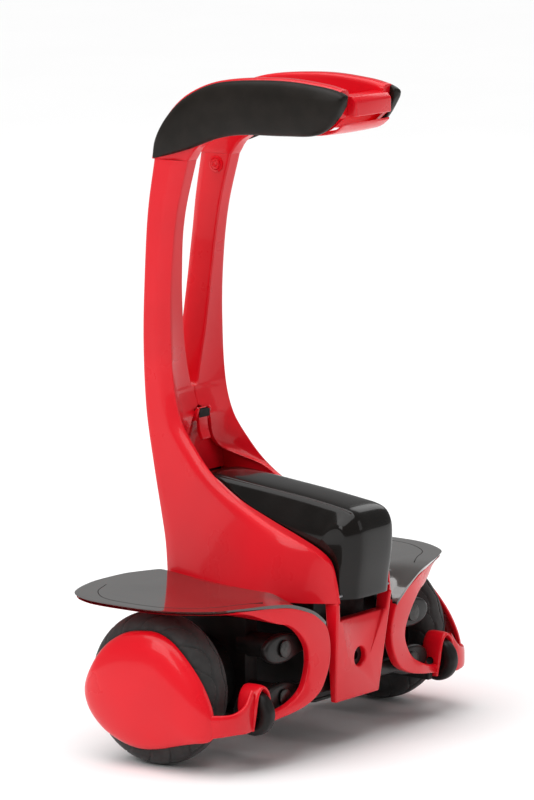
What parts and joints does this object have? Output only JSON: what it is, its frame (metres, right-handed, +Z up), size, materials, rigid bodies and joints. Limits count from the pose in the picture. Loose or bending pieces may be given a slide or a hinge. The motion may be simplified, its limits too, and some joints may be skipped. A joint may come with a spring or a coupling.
{
  "type": "stand-on balancing scooter",
  "caption": "Two-wheel self-balancing stand-on scooter: wide foot plates beside a forked knee-high column with a wrap-round padded handle, on a leaning parallel linkage.",
  "frame": {"origin": "on the floor, below the middle of the line through both wheel axles", "axes": "+X rider's right, +Y forward, +Z up"},
  "size_m": [0.465, 0.2652, 0.68],
  "materials": {
    "red_gloss": "high gloss",
    "grip_satin": "satin",
    "cover_gloss_black": "high gloss",
    "foot_plate_gloss": "high gloss",
    "black_casting": "satin black coat",
    "steel": "ground",
    "battery_case": "matt",
    "tyre": "matt",
    "caster_tyre": "matt",
    "circuit_board": "matt"
  },
  "bodies": {
    "centre": {"left_column_shell": "red_gloss", "right_column_shell": "red_gloss", "left_handle_arm": "red_gloss", "right_handle_arm": "red_gloss", "left_grip_pad": "grip_satin", "right_grip_pad": "grip_satin", "cross_bar": "red_gloss", "button_bezel": "red_gloss", "niche_panel": "red_gloss", "latch_pin": "steel", "mast_bracket": "black_casting", "cover_hinge_pin": "steel", "battery_pack": "battery_case", "control_board": "circuit_board", "motor_controller": "battery_case", "chassis": "black_casting", "belly_pan": "black_casting", "rear_panel": "red_gloss", "charging_socket": "black_casting", "front_panel": "red_gloss"},
    "button": {"power_button": "red_gloss"},
    "latch": {"latch_lever": "red_gloss"},
    "hatch": {"battery_cover": "cover_gloss_black"},
    "upper_link": {"upper_link_rear": "black_casting", "upper_link_front": "black_casting", "upper_pivot_shaft": "steel"},
    "lower_link": {"lower_link_rear": "black_casting", "lower_link_front": "black_casting", "lower_pivot_shaft": "steel"},
    "left_side": {"left_side_member": "black_casting", "left_link_pins": "steel", "left_motor_housing": "black_casting", "left_ring": "red_gloss", "left_foot_plate": "foot_plate_gloss", "left_plate_tray": "red_gloss", "left_wheel_cover": "red_gloss", "left_caster_bracket": "black_casting", "left_caster_pin": "steel"},
    "right_side": {"right_side_member": "black_casting", "right_link_pins": "steel", "right_motor_housing": "black_casting", "right_ring": "red_gloss", "right_foot_plate": "foot_plate_gloss", "right_plate_tray": "red_gloss", "right_wheel_cover": "red_gloss", "right_caster_bracket": "black_casting", "right_caster_pin": "steel"},
    "left_wheel": {"left_tyre": "tyre", "left_rim": "black_casting", "left_hub_cap": "black_casting"},
    "right_wheel": {"right_tyre": "tyre", "right_rim": "black_casting", "right_hub_cap": "black_casting"},
    "left_caster": {"left_caster_tyre": "caster_tyre", "left_caster_hub": "black_casting"},
    "right_caster": {"right_caster_tyre": "caster_tyre", "right_caster_hub": "black_casting"}
  },
  "joints": [
    {"name": "lean", "type": "hinge", "parent": "centre", "child": "upper_link", "pos_m": [0, 0, 0.116], "axis": [0, 1, 0], "range_deg": [-10, 10], "stiffness_Nm_per_rad": 80},
    {"name": "lower_lean", "type": "hinge", "parent": "centre", "child": "lower_link", "pos_m": [0, 0, 0.066], "axis": [0, 1, 0], "range_deg": [-10, 10]},
    {"name": "left_side_pivot", "type": "hinge", "parent": "upper_link", "child": "left_side", "pos_m": [-0.112, 0, 0.116], "axis": [0, 1, 0], "range_deg": [-10, 10]},
    {"name": "right_side_pivot", "type": "hinge", "parent": "upper_link", "child": "right_side", "pos_m": [0.112, 0, 0.116], "axis": [0, 1, 0], "range_deg": [-10, 10]},
    {"name": "left_wheel_spin", "type": "hinge", "parent": "left_side", "child": "left_wheel", "pos_m": [-0.1903, 0, 0.078], "axis": [1, 0, 0], "continuous": true},
    {"name": "right_wheel_spin", "type": "hinge", "parent": "right_side", "child": "right_wheel", "pos_m": [0.1903, 0, 0.078], "axis": [1, 0, 0], "continuous": true},
    {"name": "left_caster_spin", "type": "hinge", "parent": "left_side", "child": "left_caster", "pos_m": [-0.1606, -0.0964, 0.059], "axis": [1, 0, 0], "continuous": true},
    {"name": "right_caster_spin", "type": "hinge", "parent": "right_side", "child": "right_caster", "pos_m": [0.1606, -0.0964, 0.059], "axis": [1, 0, 0], "continuous": true},
    {"name": "button_press", "type": "slide", "parent": "centre", "child": "button", "axis": [1, 0, 0], "range_m": [0, 0.002], "stiffness_N_per_m": 400},
    {"name": "latch_pull", "type": "hinge", "parent": "centre", "child": "latch", "pos_m": [0, 0.084, 0.326], "axis": [-1, 0, 0], "range_deg": [0, 25], "stiffness_Nm_per_rad": 0.05},
    {"name": "hatch_open", "type": "hinge", "parent": "centre", "child": "hatch", "pos_m": [0, -0.114, 0.16], "axis": [1, 0, 0], "range_deg": [0, 60]}
  ],
  "couplings": [
    {"joint": "lower_lean", "follows": "lean", "ratio": 1},
    {"joint": "left_side_pivot", "follows": "lean", "ratio": -1},
    {"joint": "right_side_pivot", "follows": "lean", "ratio": -1}
  ]
}
